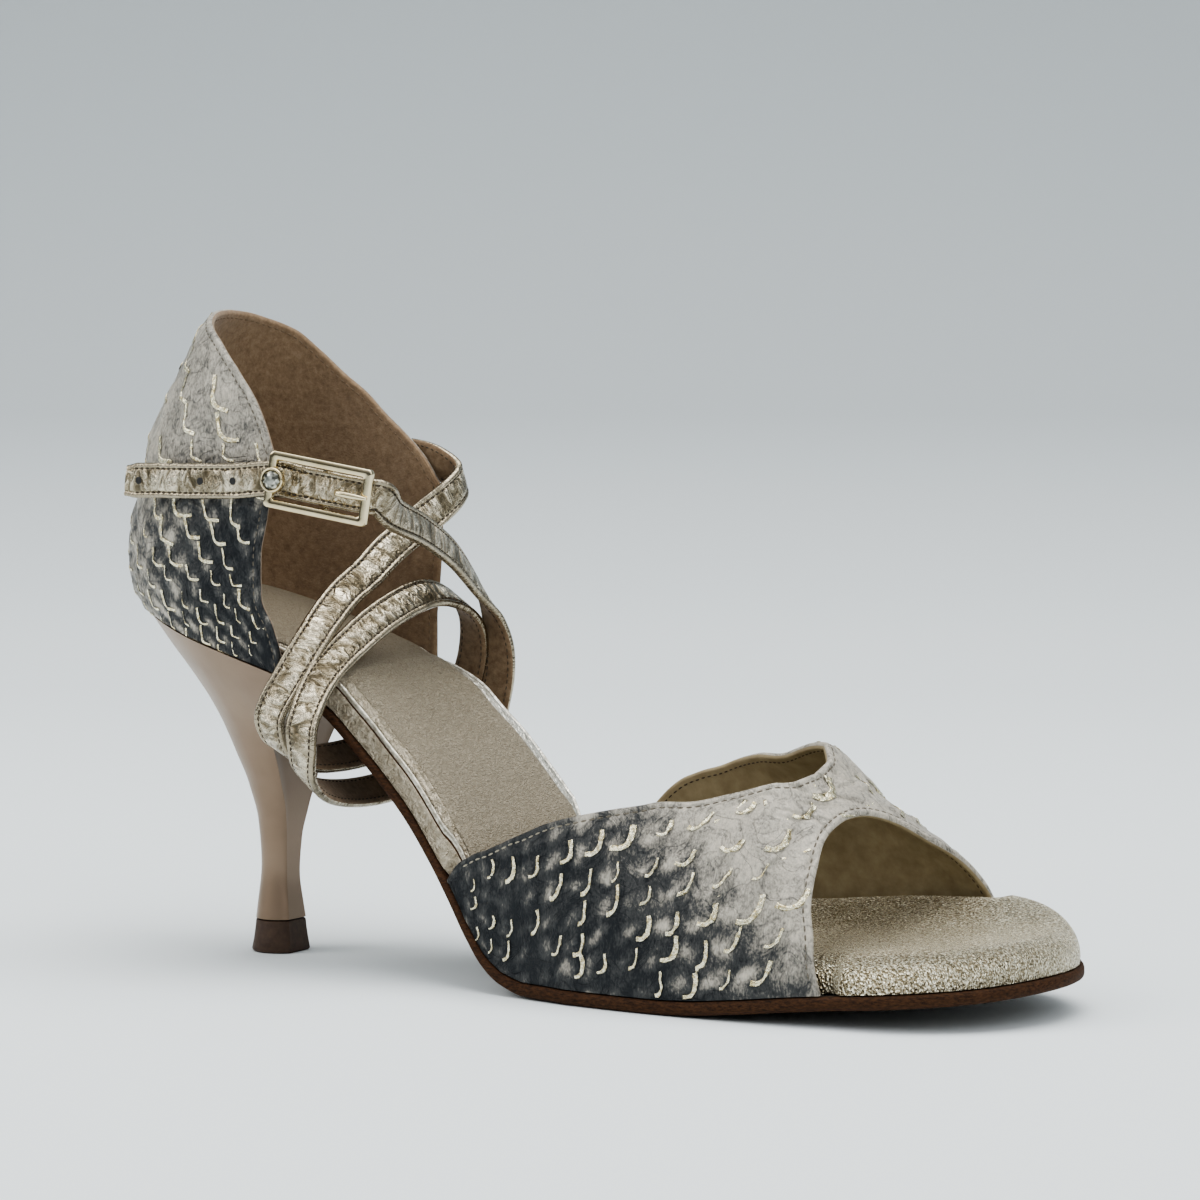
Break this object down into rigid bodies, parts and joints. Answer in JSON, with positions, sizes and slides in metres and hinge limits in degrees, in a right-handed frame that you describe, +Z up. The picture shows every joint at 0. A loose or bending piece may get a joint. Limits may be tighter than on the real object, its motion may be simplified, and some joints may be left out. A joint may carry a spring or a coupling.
{
  "type": "ballroom dance shoe",
  "caption": "Right open-toe ballroom dance sandal with a closed heel counter, printed leather vamp, metallic wrap strap with a jewelled buckle and a slim stiletto heel",
  "frame": {"origin": "on the floor under the flat spot of the forefoot, on the sole's centre line", "axes": "+X to the toe along the shoe, +Y to the wearer's medial side (the left, as this is a right shoe), +Z up"},
  "size_m": [0.2386, 0.0763, 0.151],
  "materials": {
    "outsole": "brown sole leather, buffed edge",
    "footbed": "pale gold glitter leather over padding",
    "sock": "smooth beige leather",
    "vamp": "reptile-scale printed leather with gold foil ticks",
    "quarter": "reptile-scale printed leather with gold foil ticks",
    "heel": "satin rose-champagne metallic leather covering",
    "heel_cap": "dark brown top piece",
    "wrap_strap": "crinkled champagne foil leather",
    "buckle_frame": "polished pale gold plating",
    "buckle_prong": "polished pale gold plating",
    "stone_bezel": "polished pale gold plating",
    "stone": "clear cut stone",
    "buckle_tab": "crinkled champagne foil leather"
  },
  "bodies": {
    "root": {"outsole": "outsole", "footbed": "footbed", "sock": "sock", "vamp": "vamp", "quarter": "quarter", "heel": "heel", "heel_cap": "heel_cap", "wrap_strap": "wrap_strap", "buckle_frame": "buckle_frame", "buckle_prong": "buckle_prong", "stone_bezel": "stone_bezel", "stone": "stone", "buckle_tab": "buckle_tab"}
  },
  "joints": []
}
